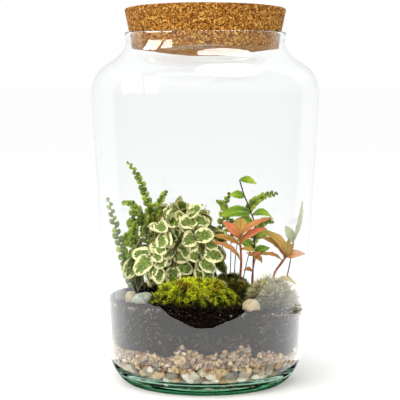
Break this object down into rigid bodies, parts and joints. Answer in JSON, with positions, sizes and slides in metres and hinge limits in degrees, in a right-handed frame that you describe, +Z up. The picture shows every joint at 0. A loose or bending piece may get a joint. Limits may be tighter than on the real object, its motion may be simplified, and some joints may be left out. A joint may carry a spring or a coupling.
{
  "type": "glass plant terrarium",
  "caption": "Corked glass jar holding a closed planted garden: drainage stones, granules, soil, moss, garden stones and leafy plants.",
  "frame": {"origin": "middle of the ring that the jar stands on, at the surface it stands on", "axes": "+Z up along the jar's axis, +X to the right and -Y towards the viewer of the picture"},
  "size_m": [0.259, 0.259, 0.4309],
  "materials": {
    "jar_glass": "clear, polished, faint green",
    "cork": "pressed cork granules, matt",
    "pebbles": "rounded, satin",
    "granules": "crumbly, matt",
    "soil": "dark potting soil, damp, matt",
    "dry_wood": "dry, matt",
    "dry_leaf": "dry, matt",
    "pink_leaf": "satin",
    "green_leaf": "satin",
    "pale_leaf": "satin",
    "garden_stone": "weathered, matt",
    "moss": "living moss, fibrous, matt",
    "fern_leaf": "satin",
    "fig_leaf": "variegated green and cream, satin"
  },
  "bodies": {
    "root": {"jar": "jar_glass", "cork_stopper": "cork", "pebble_layer": "pebbles", "granule_layer": "granules", "soil": "soil", "twig": "dry_wood", "fallen_leaf_yellow": "dry_leaf", "fallen_leaf_red": "pink_leaf", "green_stem": "green_leaf", "slender_stem": "pale_leaf", "stone_left_grey": "garden_stone", "stone_left_tan": "garden_stone", "stone_left_pale": "garden_stone", "stone_flat_beige": "garden_stone", "stone_right_beige": "garden_stone", "stone_back_grey": "garden_stone", "stone_back_tan": "garden_stone", "moss_front": "moss", "moss_back": "moss", "moss_right": "moss", "moss_rear": "moss", "fern_frond_01": "fern_leaf", "fern_frond_02": "fern_leaf", "fern_frond_03": "fern_leaf", "fern_frond_04": "fern_leaf", "fern_frond_05": "fern_leaf", "fern_frond_06": "fern_leaf", "fern_frond_07": "fern_leaf", "fern_frond_08": "fern_leaf", "fern_frond_09": "fern_leaf", "fern_frond_10": "fern_leaf", "fern_frond_11": "fern_leaf", "fern_frond_12": "fern_leaf", "fern_frond_13": "fern_leaf", "fern_frond_14": "fern_leaf", "fig_stem_01": "fig_leaf", "fig_stem_02": "fig_leaf", "fig_stem_03": "fig_leaf", "fig_stem_04": "fig_leaf", "fig_stem_05": "fig_leaf", "fig_stem_06": "fig_leaf", "fig_stem_07": "fig_leaf", "fig_stem_08": "fig_leaf", "fig_stem_09": "fig_leaf", "fig_stem_10": "fig_leaf", "fig_stem_11": "fig_leaf", "pink_stem_1": "pink_leaf", "pink_stem_2": "pink_leaf", "pink_stem_3": "pink_leaf"}
  },
  "joints": []
}
